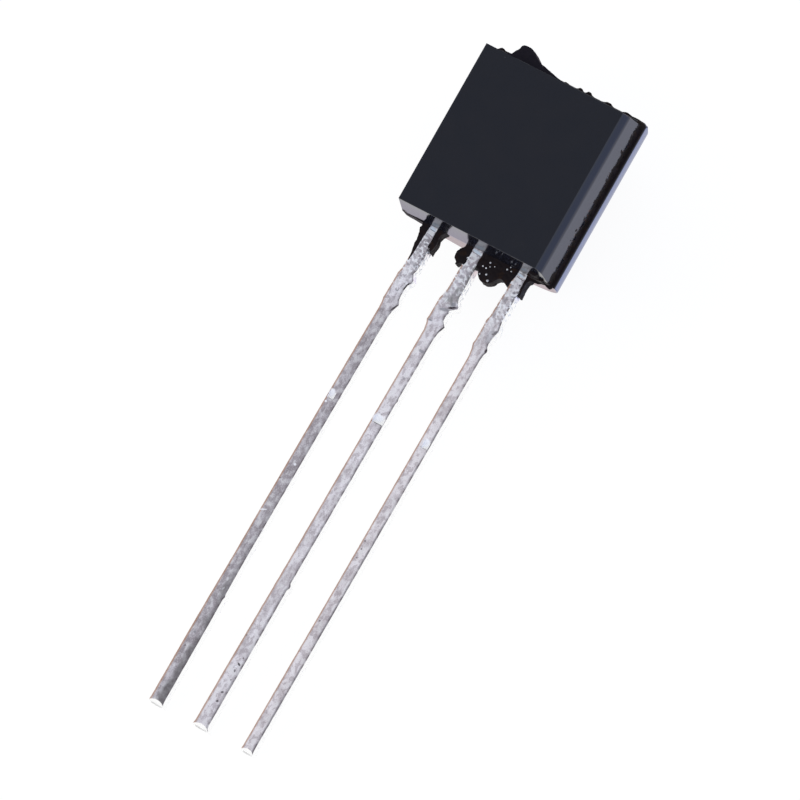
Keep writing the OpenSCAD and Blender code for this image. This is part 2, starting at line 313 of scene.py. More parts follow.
# %% [markdown]
# The body is moulded epoxy, black with a blue cast. Where the mould was polished the skin is
# glossy, with a faint grain and a few pinholes. Where resin squeezed out between the mould's
# halves and was broken off, it is lumpy and brownish at thin places. A ragged film of it runs up
# the foot of each side wall.

# %% Epoxy
def speckle(tree, place, per_mm, size, share):
    """A mask of small round specks: so many cells per millimetre, in a share of which one lies."""
    cells = node(tree, "TexVoronoi", {"Vector": place}, Scale=per_mm)
    luck = node(tree, "SeparateColor", {0: cells.outputs["Color"]})
    near = spread(tree, cells.outputs["Distance"], size * per_mm, size * per_mm * 0.5)
    return times(tree, near, spread(tree, luck.outputs[0], 1 - share, 1.005 - share))


# How high the film reaches up the walls, and how much its upper edge wanders, in millimetres
FILM_HIGH, FILM_RAGGED = 0.19, 0.55


def epoxy_skin():
    material, tree, output = new_material("moulded_epoxy")
    place = package_place(tree)
    patches = mottle(tree, place, 0.6)
    grain = mottle(tree, place, 0.02, detail=2)
    colour = blend(tree, spread(tree, patches, 0.35, 0.65),
                   (0.007, 0.009, 0.016), (0.008, 0.0095, 0.016))
    colour = blend(tree, speckle(tree, place, 3.0, 0.016, 0.25), colour, (0.05, 0.055, 0.06))
    axes = node(tree, "SeparateXYZ", {0: place})
    waves = maths(tree, "ADD", mottle(tree, place, 0.13), mottle(tree, place, 0.4))
    climb = maths(tree, "SUBTRACT", axes.outputs["Z"], times(tree, waves, FILM_RAGGED))
    foot = PARTING_Z + FILM_HIGH - FILM_RAGGED
    at_side = times(tree, spread(tree, maths(tree, "ABSOLUTE", axes.outputs["X"], 0.0), 1.88, 1.92),
                    spread(tree, axes.outputs["Z"], PARTING_Z - 0.02, PARTING_Z))
    film = times(tree, at_side, spread(tree, climb, foot + 0.02, foot - 0.01))
    fringe = times(tree, times(tree, at_side, spread(tree, climb, foot + 0.06, foot + 0.02)),
                   spread(tree, mottle(tree, place, 0.05), 0.55, 0.62))
    colour = blend(tree, fringe, colour, (0.1, 0.035, 0.02))
    colour = blend(tree, film, colour, blend(tree, spread(tree, mottle(tree, place, 0.08), 0.5, 0.7),
                                             (0.02, 0.016, 0.014), (0.034, 0.022, 0.016)))
    lumps = times(tree, film, mottle(tree, place, 0.06))
    rough = maths(tree, "ADD", spread(tree, patches, 0.3, 0.7, 0.11, 0.15), times(tree, film, 0.4))
    shader = node(tree, "BsdfPrincipled", {
        "Base Color": colour,
        "Roughness": rough,
        "Specular IOR Level": spread(tree, film, 0.0, 1.0, 0.5, 0.06),
        "Normal": bump(tree, maths(tree, "ADD", times(tree, grain, 0.1), lumps), 0.003),
    }, IOR=1.6)
    tree.links.new(shader.outputs[0], output.inputs["Surface"])
    return material


def broken_resin(name, dark, brown, depth):
    """Resin without a polished skin. It hardly shines, even at a glancing angle."""
    material, tree, output = new_material(name)
    place = package_place(tree)
    lumps = mottle(tree, place, 0.07, detail=3)
    patches = mottle(tree, place, 0.13)
    shader = node(tree, "BsdfPrincipled", {
        "Base Color": blend(tree, spread(tree, patches, 0.5, 0.72), dark, brown),
        "Roughness": spread(tree, lumps, 0.3, 0.7, 0.4, 0.6),
        "Normal": bump(tree, lumps, depth),
    }, IOR=1.12)
    tree.links.new(shader.outputs[0], output.inputs["Surface"])
    return material


skin = epoxy_skin()
torn = broken_resin("torn_resin", (0.017, 0.013, 0.014), (0.028, 0.016, 0.012), 0.004)
stub = broken_resin("gate_resin", (0.018, 0.016, 0.022), (0.021, 0.018, 0.024), 0.002)
print("finishes:", skin.name, torn.name, stub.name)

# %% [markdown]
# The leads are stamped from sheet copper alloy and dipped in tin. Their front faces are a matte
# pale grey with a lilac cast and a fine grain, and one lead is darker than its neighbours, with
# painted shade darkening its right half towards the tip, where its face is slightly twisted. The
# shear rolled each face over at its right edge, and the shade of that roll is painted as a dull
# line; the shear also left a thin brownish line down the left. The sheared sides are bright. What
# the tools pressed gets painted highlights, and near the body the tin has painted sparkle:
# white glints and dark flecks. A lead's mesh carries how far each point lies from its left and
# right edge, so that the lines follow them. What the tools left is given as marks: place, half
# width and half height, lean, colour and strength. Of these, the white and pale blue ones are
# painted highlights, and the thin dark lines below them and the dark crescents below the
# tie-bar points are painted shade.

# %% Tin
GREY, DARK = (0.33, 0.33, 0.36), (0.035, 0.025, 0.03)
OLIVE, PALE_BLUE = (0.27, 0.27, 0.26), (0.82, 0.92, 1.0)


def tin(name, clean, lower_colour, line, twist_shade, marks):
    """The first two are the colours near the body and further down, line is how strong the painted
    shade of the dull line down the right is, and the fourth is how dark the painted shade of the
    twisted face makes the right half towards the tip."""
    material, tree, output = new_material(name)
    place = package_place(tree)
    axes = node(tree, "SeparateXYZ", {0: place})
    from_left = node(tree, "Attribute", attribute_name="from_left").outputs["Fac"]
    from_right = node(tree, "Attribute", attribute_name="from_right").outputs["Fac"]
    fine = mottle(tree, place, 0.03, detail=4)
    blotches = mottle(tree, place, 0.1, detail=5, stretch=(1, 1.6, 1))
    clouds = mottle(tree, place, 0.3, detail=5, stretch=(0.8, 1.5, 1))
    along = mottle(tree, place, 0.16, detail=4, stretch=(1, 3, 1))
    colour = blend(tree, spread(tree, axes.outputs["Y"], -1.6, -2.8), clean, lower_colour)
    dull = [c * share for c, share in zip(lower_colour, (0.5, 0.46, 0.47))]
    colour = blend(tree, times(tree, spread(tree, clouds, 0.46, 0.62), 0.5), colour, dull)
    colour = blend(tree, times(tree, spread(tree, blotches, 0.5, 0.6), 0.55), colour, dull)
    colour = blend(tree, times(tree, spread(tree, fine, 0.52, 0.64), 0.35), colour, dull)
    colour = blend(tree, times(tree, spread(tree, blotches, 0.48, 0.36), 0.45), colour, WHITE)
    colour = blend(tree, times(tree, spread(tree, fine, 0.48, 0.34), 0.3), colour, WHITE)
    # Painted sparkle near the body: dark flecks here, and white glints below that drop their metal so that
    # they stay bright.
    sparkle = mottle(tree, place, 0.08, detail=2)
    near_root = times(tree, spread(tree, axes.outputs["Y"], -2.2, -0.8), spread(tree, sparkle, 0.52, 0.62))
    colour = blend(tree, times(tree, near_root, 0.4), colour, (0.3, 0.3, 0.35))
    # Painted shade: the right half darkens towards the tip, as the slightly twisted face of the darker lead
    # reflects less light.
    low_down = spread(tree, axes.outputs["Y"], -7.0, -11.5, 0.2 * twist_shade, twist_shade)
    uneven = maths(tree, "ADD", from_right, times(tree, clouds, 0.4))
    colour = blend(tree, times(tree, spread(tree, uneven, 0.4, 0.22), low_down), colour, (0.15, 0.14, 0.14))
    # Painted shade along the rolled right edge: a dull line, and a thinner, darker one at the very edge.
    edge = times(tree, spread(tree, from_right, 0.07, 0.02), spread(tree, along, 0.4, 0.55, 0.4 * line, line))
    colour = blend(tree, edge, colour, (0.25, 0.23, 0.25))
    thin = times(tree, spread(tree, from_right, 0.03, 0.014), spread(tree, blotches, 0.42, 0.56))
    colour = blend(tree, times(tree, thin, 0.6), colour, (0.13, 0.1, 0.11))
    colour = blend(tree, spread(tree, from_left, 0.06, 0.012, 0, 0.8), colour, (0.6, 0.36, 0.24))
    colour = blend(tree, times(tree, speckle(tree, place, 5.0, 0.03, 0.16), 0.7), colour, (0.2, 0.16, 0.16))
    ragged = maths(tree, "ADD", times(tree, mottle(tree, place, 0.07, detail=2), 0.6), 0.2)
    painted_glints = times(tree, spread(tree, sparkle, 0.47, 0.4),
                   spread(tree, axes.outputs["Y"], -2.2, -0.8, 0.05, 1.0))
    colour = blend(tree, painted_glints, colour, WHITE)
    metal = maths(tree, "SUBTRACT", 1.0, painted_glints)
    # Each mark paints its colour in a ragged oval. White and pale blue marks are painted highlights and drop
    # their metal so that they stay bright; the thin dark lines below them and the dark crescents below the
    # tie-bar points are painted shade.
    for x, y, half_w, half_h, lean, mark_colour, strength in marks:
        mask = times(tree, spot(tree, place, ragged, x, y, half_w, half_h, lean), strength)
        if mark_colour == OLIVE:
            mask = times(tree, mask, spread(tree, blotches, 0.36, 0.6, 1.0, 0.25))
        colour = blend(tree, mask, colour, mark_colour)
        if mark_colour in (WHITE, PALE_BLUE):
            metal = maths(tree, "SUBTRACT", metal, mask)
    on_side = spread(tree, axes.outputs["Z"], PARTING_Z - 0.012, PARTING_Z - 0.02)
    burr = times(tree, spread(tree, blotches, 0.6, 0.68), spread(tree, fine, 0.45, 0.6))
    burr = times(tree, burr, spread(tree, axes.outputs["Y"], -12.9, -12.7))
    colour = blend(tree, on_side, colour, blend(tree, burr, WHITE, (0.62, 0.6, 0.72)))
    rough = maths(tree, "SUBTRACT", spread(tree, along, 0.3, 0.7, 0.5, 0.58), times(tree, on_side, 0.35))
    shader = node(tree, "BsdfPrincipled", {
        "Base Color": colour,
        "Roughness": rough,
        "Normal": bump(tree, fine, 0.001),
        "Metallic": metal,
    })
    tree.links.new(shader.outputs[0], output.inputs["Surface"])
    return material


# Marks: x, y, half width, half height, lean, colour and strength. The white and pale blue ones are painted
# highlights, and the thin dark lines under them and the dark crescents under the tie-bar points are painted
# shade.
lead_tin = {
    "emitter_lead": tin("tin_dark", (0.98, 0.95, 1.0), (0.68, 0.645, 0.68), 0.3, 0.8, [
        (-1.15, -0.06, 0.09, 0.05, -8, PALE_BLUE, 0.9), (-1.15, -0.09, 0.09, 0.007, -5, DARK, 0.7),
        (-1.15, -0.17, 0.10, 0.05, -5, WHITE, 0.9), (-1.15, -0.215, 0.1, 0.006, -8, GREY, 0.8),
        (-1.2, -0.31, 0.05, 0.03, 0, WHITE, 0.8), (-1.12, -0.45, 0.05, 0.03, 10, GREY, 0.4),
        (-1.17, -0.6, 0.06, 0.015, 0, WHITE, 0.9), (-1.08, -1.03, 0.06, 0.05, 0, GREY, 0.5),
        (-1.02, -0.6, 0.014, 0.32, 0, DARK, 0.6), (-1.03, -1.55, 0.022, 0.12, -14, DARK, 1.0),
        (-1.03, -2.13, 0.022, 0.13, -24, DARK, 0.75), (-1.19, -1.73, 0.04, 0.02, 0, GREY, 0.7),
        (-1.33, -4.57, 0.07, 0.1, 12, WHITE, 1.0), (-1.3, -4.71, 0.08, 0.01, 8, DARK, 0.8),
        (-1.36, -4.82, 0.03, 0.025, 0, WHITE, 1.0), (-1.25, -6.48, 0.035, 0.03, 0, WHITE, 0.8),
        (-1.38, -7.76, 0.09, 0.02, 25, WHITE, 0.8), (-1.3, -9.6, 0.03, 0.05, 20, WHITE, 0.35),
        (-1.27, -9.84, 0.02, 0.05, -20, WHITE, 0.35), (-1.36, -11.06, 0.03, 0.03, 0, GREY, 0.6)]),
    "collector_lead": tin("tin_lilac", (0.97, 0.94, 1.0), (1.0, 0.965, 1.0), 0.6, 0.1, [
        (0.06, -0.06, 0.12, 0.035, -8, PALE_BLUE, 1.0), (0.06, -0.11, 0.12, 0.007, -5, GREY, 0.9),
        (0.05, -0.18, 0.10, 0.03, -5, WHITE, 0.9), (0.02, -0.3, 0.08, 0.025, 0, WHITE, 0.8),
        (0.2, -0.66, 0.04, 0.32, 0, OLIVE, 0.7), (0.15, -1.05, 0.09, 0.4, 0, OLIVE, 0.6),
        (0.14, -1.34, 0.12, 0.2, 0, OLIVE, 0.7), (0.0, -1.3, 0.12, 0.2, 10, OLIVE, 0.4),
        (0.2, -1.42, 0.06, 0.06, 0, GREY, 0.9), (-0.02, -1.42, 0.015, 0.08, -10, WHITE, 0.6),
        (0.21, -1.5, 0.11, 0.025, 28, DARK, 1.0), (0.06, -1.62, 0.12, 0.04, 15, GREY, 0.7),
        (0.24, -2.06, 0.018, 0.13, -24, DARK, 0.75), (-0.12, -1.99, 0.06, 0.025, 0, GREY, 0.7),
        (0.08, -2.74, 0.08, 0.035, 0, GREY, 0.7), (0.04, -3.5, 0.03, 0.03, 0, GREY, 0.5),
        (-0.05, -4.6, 0.13, 0.1, 0, WHITE, 1.0), (-0.03, -4.735, 0.15, 0.01, -2, DARK, 0.9),
        (-0.02, -11.26, 0.045, 0.025, -30, DARK, 0.85), (-0.06, -11.34, 0.03, 0.02, 0, WHITE, 0.8),
        (-0.035, -11.44, 0.02, 0.035, 25, DARK, 0.7), (-0.04, -12.02, 0.035, 0.025, 35, DARK, 0.8),
        (-0.04, -12.26, 0.03, 0.03, 0, DARK, 0.75)]),
    "base_lead": tin("tin_warm", (1.0, 0.97, 1.0), (1.0, 0.95, 0.97), 0.8, 0.1, [
        (1.29, -0.04, 0.08, 0.05, -8, OLIVE, 0.5), (1.27, -0.08, 0.09, 0.03, -8, PALE_BLUE, 1.0),
        (1.3, -0.155, 0.11, 0.008, -8, DARK, 0.9), (1.29, -0.22, 0.1, 0.035, -5, WHITE, 0.8),
        (1.38, -0.3, 0.02, 0.02, 0, DARK, 0.8), (1.35, -0.52, 0.03, 0.02, 0, GREY, 0.9),
        (1.32, -0.58, 0.05, 0.025, 10, WHITE, 1.0), (1.36, -0.62, 0.05, 0.012, 20, DARK, 0.9),
        (1.35, -1.7, 0.07, 0.2, 0, GREY, 0.4), (1.45, -2.04, 0.035, 0.045, 0, DARK, 0.8),
        (1.43, -1.56, 0.03, 0.07, -20, DARK, 0.6), (1.29, -4.6, 0.08, 0.1, 12, WHITE, 1.0),
        (1.31, -4.735, 0.1, 0.01, 5, DARK, 0.8)]),
}
print("finishes:", [material.name for material in lead_tin.values()])

# %% [markdown]
# A few short helpers do what is done by hand in the viewport: pick what lies in some place,
# cut a plate to an outline, apply a modifier, and lay a finished piece down.

# %% Modelling helpers
def begin(name):
    """Names the primitive that was just added and puts its place into its mesh."""
    piece = bpy.context.object
    piece.name = piece.data.name = name
    bpy.ops.object.transform_apply(location=True, rotation=True, scale=True)
    return piece


def pick(kind, test):
    """In edit mode, selects each vertex, edge or face whose middle passes the test."""
    bpy.ops.mesh.select_mode(type=kind)
    bpy.ops.mesh.select_all(action="DESELECT")
    data = bpy.context.object.data
    mesh = bmesh.from_edit_mesh(data)
    parts = {"VERT": mesh.verts, "EDGE": mesh.edges, "FACE": mesh.faces}[kind]
    count = 0
    for part in parts:
        corners = [part.co] if kind == "VERT" else [v.co for v in part.verts]
        if test(sum(corners, Vector()) / len(corners), part):
            part.select_set(True)
            count += 1
    mesh.select_flush_mode()
    bmesh.update_edit_mesh(data)
    return count


def edit(piece):
    """Opens a piece alone in edit mode."""
    bpy.ops.object.select_all(action="DESELECT")
    bpy.context.view_layer.objects.active = piece
    piece.select_set(True)
    bpy.ops.object.mode_set(mode="EDIT")


def done():
    bpy.ops.object.mode_set(mode="OBJECT")


def cut(point, normal, clear=True):
    """Bisects all of the open piece. With clear, what lies on the normal's side goes."""
    bpy.ops.mesh.select_all(action="SELECT")
    bpy.ops.mesh.bisect(plane_co=point, plane_no=normal, use_fill=clear, clear_outer=clear)


def slide(offset):
    bpy.ops.transform.translate(value=offset)


def widen(x=1.0, y=1.0, z=1.0, about=(0, 0, 0)):
    bpy.ops.transform.resize(value=(x, y, z), center_override=about)


def draw_out(offset):
    """Extrudes the picked faces by an offset."""
    bpy.ops.mesh.extrude_region_move(TRANSFORM_OT_translate={"value": offset})


def bevel(radius, segments):
    bpy.ops.mesh.bevel(offset=radius, segments=segments, affect="EDGES")


def modify(piece, kind, **settings):
    """Adds a modifier with these settings and applies it."""
    modifier = piece.modifiers.new(kind.lower(), kind)
    for key, value in settings.items():
        setattr(modifier, key, value)
    bpy.ops.object.select_all(action="DESELECT")
    bpy.context.view_layer.objects.active = piece
    piece.select_set(True)
    bpy.ops.object.modifier_apply(modifier=modifier.name)


def combine(piece, other, operation):
    """Applies a Boolean modifier and removes the other piece."""
    modify(piece, "BOOLEAN", object=other, operation=operation, solver="MANIFOLD", material_mode="TRANSFER")
    bpy.data.objects.remove(other)


def roughen(piece, size, depth, direction="NORMAL", group=""):
    """Moves the surface in and out by clouds of that size, by up to half the depth each way."""
    clouds = bpy.data.textures.new(piece.name + "_clouds", "CLOUDS")
    clouds.noise_scale = size
    clouds.noise_depth = 2
    modify(piece, "DISPLACE", texture=clouds, strength=depth, mid_level=0.5, direction=direction,
           texture_coords="LOCAL", vertex_group=group)


def plate(name, outline, low, high):
    """A plate with this outline, listed counter-clockwise, from Z = low to Z = high."""
    bpy.ops.object.select_all(action="DESELECT")
    bpy.ops.mesh.primitive_circle_add(vertices=len(outline), fill_type="NGON")
    piece = begin(name)
    for vertex, (x, y) in zip(piece.data.vertices, outline):
        vertex.co = (x, y, low)
    edit(piece)
    bpy.ops.mesh.select_all(action="SELECT")
    draw_out((0, 0, high - low))
    bpy.ops.mesh.select_all(action="SELECT")
    bpy.ops.mesh.normals_make_consistent(inside=False)
    done()
    return piece


def join(pieces, name):
    """Makes several pieces one."""
    bpy.ops.object.select_all(action="DESELECT")
    for piece in pieces:
        piece.select_set(True)
    bpy.context.view_layer.objects.active = pieces[0]
    bpy.ops.object.join()
    pieces[0].name = pieces[0].data.name = name
    return pieces[0]


def finish(piece, nodes, smooth_angle=30):
    """Lays a piece down into its place, and says what it rides on and stands for."""
    bpy.ops.object.select_all(action="DESELECT")
    bpy.context.view_layer.objects.active = piece
    piece.select_set(True)
    bpy.ops.object.shade_smooth_by_angle(angle=math.radians(smooth_angle))
    modify(piece, "WEIGHTED_NORMAL", keep_sharp=True)
    piece.data.transform(lay_down)
    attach(piece, "root")
    if nodes:
        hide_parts(*nodes)
    print(piece.name, "has", len(piece.data.polygons), "faces")


# %% [markdown]
# The body came out of a mould with two halves. The front half is a block with its flat face and
# drafted sides. Its left side runs straight up to a sharp edge, and its right side ends in a
# chamfer. A cube's top face is extruded and drawn in for the draft, and extruded once more and
# drawn in to one side, so that only the right side bends. It starts a little inside the back
# half, so that the two fuse cleanly.

# %% Front half of the body
FLAT_Z = body_high.z
FRONT_W, FRONT_H = 4.08, 4.36
FRONT_DRAFT, FRONT_END_DRAFT = math.radians(5.5), math.radians(4.3)
CHAMFER_W, CHAMFER_D = 0.12, 0.19
SEAT = 0.1
SHARP_R, SOFT_R, ROUND_R = 0.012, 0.03, 0.07

wall_z = FLAT_Z - CHAMFER_D
wall_x = FRONT_W / 2 - (wall_z - PARTING_Z) * math.tan(FRONT_DRAFT)
flat_left = (FLAT_Z - PARTING_Z) * math.tan(FRONT_DRAFT) - FRONT_W / 2
flat_right = wall_x - CHAMFER_W


def front_length(z):
    """Length of the front half at a height: its ends are drafted."""
    return FRONT_H - 2 * (z - PARTING_Z) * math.tan(FRONT_END_DRAFT)


bpy.ops.object.select_all(action="DESELECT")
bpy.ops.mesh.primitive_cube_add(size=1, location=(0, FRONT_H / 2, PARTING_Z - SEAT / 2),
                                scale=(FRONT_W, FRONT_H, SEAT))
front = begin("front_half")
edit(front)
pick("FACE", lambda at, face: at.z > PARTING_Z - SEAT / 10)
draw_out((0, 0, wall_z - PARTING_Z))
widen(2 * wall_x / FRONT_W, front_length(wall_z) / FRONT_H, about=(0, FRONT_H / 2, 0))
draw_out((0, 0, CHAMFER_D))
narrower = (flat_right - flat_left) / (2 * wall_x)
still_x = (flat_left + narrower * wall_x) / (1 - narrower)
widen(narrower, front_length(FLAT_Z) / front_length(wall_z), about=(still_x, FRONT_H / 2, 0))
for edge_z, radius in ((FLAT_Z, SOFT_R), (wall_z, ROUND_R)):
    pick("EDGE", lambda at, edge: at.x > wall_x - 1.2 * CHAMFER_W and abs(at.z - edge_z) < 0.001
         and abs(at.y - FRONT_H / 2) < 0.1)
    bevel(radius, 5)
pick("EDGE", lambda at, edge: at.z > PARTING_Z + SEAT and edge.calc_face_angle(0) > math.radians(20)
     and not (at.x > wall_x - 1.5 * CHAMFER_W and abs(at.y - FRONT_H / 2) < 0.1)
     and not (at.z > FLAT_Z - 0.001 and at.y > 0.9 * FRONT_H))
bevel(SHARP_R, 2)
done()
front.data.materials.append(skin)
print("flat face", round(flat_right - flat_left, 3), "by", round(front_length(FLAT_Z), 3), "mm")

# %% [markdown]
# The back half is a drafted half-round. A cylinder lies along the package, is cut where the
# straight flanks begin, and the cut face is drawn out to the parting plane and widened, which
# gives the flanks. Two slanted cuts draft its ends, and a Boolean intersection with a plate
# rounds three of its corners. A bevel softens its rim and its ends.

# %% Back half of the body
BACK_W, BACK_H = body_high.x - body_low.x, 4.46
LEADS_TO_BACK = -body_low.z
FLANK_DRAFT, BACK_DRAFT = math.radians(9.5), math.radians(4)
LEFT_CORNER_R, RIGHT_CORNER_R, FOOT_CORNER_R = 0.3, 0.12, 0.22
RIM_R, END_R = 0.045, 0.03
ROUND_SIDES = 160

flank_slope = math.tan(FLANK_DRAFT)
back_r = ((BACK_W / 2 - (PARTING_Z + LEADS_TO_BACK) * flank_slope)
          / (1 / math.cos(FLANK_DRAFT) - flank_slope))
back_c = back_r - LEADS_TO_BACK
tangent = Vector((back_r * math.cos(FLANK_DRAFT), 0, back_c - back_r * math.sin(FLANK_DRAFT)))


def corner(start, x, y, r):
    """A quarter circle round a corner's middle, counter-clockwise from a start in degrees."""
    turns = [math.radians(start + a) for a in range(0, 91, 10)]
    return [(x + r * math.cos(a), y + r * math.sin(a)) for a in turns]


bpy.ops.object.select_all(action="DESELECT")
bpy.ops.mesh.primitive_cylinder_add(vertices=ROUND_SIDES, radius=back_r, depth=BACK_H + 2 * SEAT,
                                    location=(0, BACK_H / 2, back_c), rotation=(math.pi / 2, 0, 0))
back = begin("back_half")
edit(back)
cut(tangent, (0, 0, 1))
pick("FACE", lambda at, face: face.normal.z > 0.99)
draw_out((0, 0, PARTING_Z - tangent.z))
widen(x=BACK_W / 2 / tangent.x)
cut((0, 0, PARTING_Z), (0, -1, -math.tan(BACK_DRAFT)))
cut((0, BACK_H, PARTING_Z), (0, 1, -math.tan(BACK_DRAFT)))
done()
corners = plate("corners", corner(0, BACK_W / 2 - RIGHT_CORNER_R, BACK_H - RIGHT_CORNER_R, RIGHT_CORNER_R)
                + corner(90, LEFT_CORNER_R - BACK_W / 2, BACK_H - LEFT_CORNER_R, LEFT_CORNER_R)
                + corner(180, FOOT_CORNER_R - BACK_W / 2, FOOT_CORNER_R, FOOT_CORNER_R)
                + [(BACK_W, -1), (BACK_W, BACK_H - RIGHT_CORNER_R)], -LEADS_TO_BACK - 1, PARTING_Z + 1)
combine(back, corners, "INTERSECT")
edit(back)
pick("EDGE", lambda at, edge: at.z > PARTING_Z - 0.001 and edge.calc_face_angle(0) > 1 and at.y > 0.1)
bevel(RIM_R, 4)
pick("EDGE", lambda at, edge: edge.calc_face_angle(0) > 1 and abs(at.y - BACK_H / 2) > 1.5
     and at.z < PARTING_Z - RIM_R)
bevel(END_R, 3)
done()
back.data.materials.append(skin)
print("back radius", round(back_r, 3), "mm")

# %% [markdown]
# Where the two halves of the mould met, a skin of resin squeezed out and was left ragged: low
# along the ledges at the sides, thin under the bottom, and in crumbs along the top. Each ledge is
# a bar, subdivided along its length and pushed about by clouds. All the rest are plates cut to
# their broken outlines, remeshed finely, displaced and smoothed.

# %% Flash along the ledges
def bar(name, low, high, cuts):
    """A bar between two corners, with many cuts along its longest side and two across it."""
    low, high = Vector(low), Vector(high)
    bpy.ops.object.select_all(action="DESELECT")
    bpy.ops.mesh.primitive_cube_add(size=1, location=(low + high) / 2, scale=high - low)
    piece = begin(name)
    size = high - low
    along = max(range(3), key=lambda axis: size[axis])
    edit(piece)
    for axis in range(3):
        pick("EDGE", lambda at, edge: abs(edge.verts[0].co[axis] - edge.verts[1].co[axis]) > 0.9 * size[axis])
        bpy.ops.mesh.subdivide(number_cuts=cuts if axis == along else 2)
    done()
    piece.data.materials.append(torn)
    return piece


def mark(piece, name, test):
    """A vertex group of the vertices whose place passes the test."""
    group = piece.vertex_groups.new(name=name)
    group.add([v.index for v in piece.data.vertices if test(v.co)], 1.0, "REPLACE")


FLASH_CUTS = 100
FOOT_IN, FOOT_UP = 0.06, 0.05

flash = []
for side in (-1, 1):
    inner, outer = side * (FRONT_W / 2 - FOOT_IN), side * (BACK_W / 2 - RIM_R)
    ledge = bar("side_flash", (min(inner, outer), 0.04 if side > 0 else 0.25, PARTING_Z - 0.06),
                (max(inner, outer), BACK_H - 0.2, PARTING_Z + 0.006), FLASH_CUTS)
    mark(ledge, "foot", lambda at: at.z > PARTING_Z and abs(at.x) < FRONT_W / 2)
    edit(ledge)
    pick("VERT", lambda at, vert: at.z > PARTING_Z and abs(at.x) < FRONT_W / 2)
    slide((0, 0, FOOT_UP))
    done()
    roughen(ledge, 0.4, 0.45, "Z", "foot")
    roughen(ledge, 0.12, 0.25, "Z", "foot")
    roughen(ledge, 0.08, 0.012, "X")
    flash.append(ledge)
print(len(flash), "ledges")

# %% Broken resin
VOXEL = 0.014


def broken(name, outline, low, high, lumps=0.03, grain=0.012, voxel=VOXEL, looks=torn):
    """Adds a plate of broken resin, with lumps and a grain of those depths."""
    piece = plate(name, outline, low, high)
    piece.data.materials.append(looks)
    modify(piece, "REMESH", mode="VOXEL", voxel_size=voxel)
    roughen(piece, 0.14, lumps)
    roughen(piece, 0.045, grain)
    modify(piece, "SMOOTH", factor=0.5, iterations=2)
    flash.append(piece)


# %% Under the bottom
LIP_LOW, LIP_HIGH, LIP_IN = PARTING_Z - 0.02, PARTING_Z + 0.002, 0.06

broken("left_lip", [(-2.02, 0.15), (-2.02, 0.0), (-1.85, -0.01), (-1.7, -0.012), (-1.55, -0.02),
       (-1.4, -0.03), (-1.4, 0.15)], PARTING_Z - 0.4, LIP_HIGH, 0.012, 0.008, 0.008)
broken("right_lip", [(1.45, LIP_IN), (1.45, -0.08), (1.65, -0.09), (1.74, -0.08), (1.8, -0.05),
       (1.9, -0.025), (1.98, -0.05), (2.05, -0.07), (2.1, -0.03), (2.1, LIP_IN)], LIP_LOW, LIP_HIGH,
       0.012, 0.008, 0.008)
# Right of the base lead the resin climbs a little way up the bottom of the body
broken("right_root", [(1.49, 0.15), (1.49, -0.04), (1.88, -0.03), (1.92, 0.02), (1.92, 0.15)],
       PARTING_Z - 0.05, PARTING_Z + 0.3, 0.02, 0.012, 0.01)
broken("right_fillet", [(1.6, 0.2), (1.6, -0.03), (1.79, -0.02), (1.82, 0.03), (1.82, 0.2)], PARTING_Z,
       PARTING_Z + 0.62, 0.02, 0.012, 0.01)
print(len(flash), "pieces of flash")

# %% Gate and crumbs along the top
GATE_T = 0.5
TOP_IN = 4.3

broken("gate_stub", [(-1.72, TOP_IN), (-0.24, TOP_IN), (-0.24, 4.45), (-0.33, 4.465), (-0.46, 4.5),
       (-0.6, 4.53), (-0.72, 4.56), (-0.82, 4.58), (-0.9, 4.6), (-1.0, 4.66), (-1.06, 4.7),
       (-1.13, 4.755), (-1.2, 4.795), (-1.28, 4.808), (-1.36, 4.808), (-1.44, 4.795), (-1.485, 4.755),
       (-1.5, 4.69), (-1.515, 4.64), (-1.55, 4.6), (-1.58, 4.55), (-1.61, 4.48), (-1.72, 4.475)],
       PARTING_Z - GATE_T, PARTING_Z - 0.005, 0.015, 0.006, looks=stub)
broken("left_crumbs", [(-2.0, TOP_IN), (-1.55, TOP_IN), (-1.55, 4.465), (-1.66, 4.475), (-1.78, 4.475),
       (-1.82, 4.495), (-1.88, 4.5), (-1.92, 4.475), (-1.96, 4.44), (-2.0, 4.41)],
       PARTING_Z - 0.12, PARTING_Z - 0.01, 0.016, 0.012, 0.01)
broken("right_crumbs", [(-0.3, TOP_IN), (2.0, TOP_IN), (2.03, 4.46), (1.85, 4.475), (1.72, 4.465),
       (1.6, 4.49), (1.53, 4.485), (1.45, 4.455), (1.25, 4.445), (1.16, 4.47), (1.12, 4.5),
       (1.03, 4.505), (0.98, 4.48), (0.9, 4.46), (0.7, 4.45), (0.6, 4.475), (0.56, 4.515), (0.5, 4.52),
       (0.46, 4.48), (0.42, 4.455), (0.36, 4.47), (0.33, 4.505), (0.27, 4.51), (0.22, 4.47),
       (0.12, 4.43), (0.05, 4.42), (-0.02, 4.46), (-0.1, 4.475), (-0.16, 4.45), (-0.3, 4.43)],
       PARTING_Z - 0.1, PARTING_Z - 0.01, 0.016, 0.012, 0.01)
print(len(flash), "pieces of flash")

# %% [markdown]
# Resin also crept down between and beside the leads, as far as the mould let it. It was left as
# thin wings that lap a little over the leads' faces, and as rounded lumps.

# %% Resin between the leads
WEB_BACK, WEB_FRONT = -PARTING_Z, PARTING_Z + 0.008
ROOT = 0.12

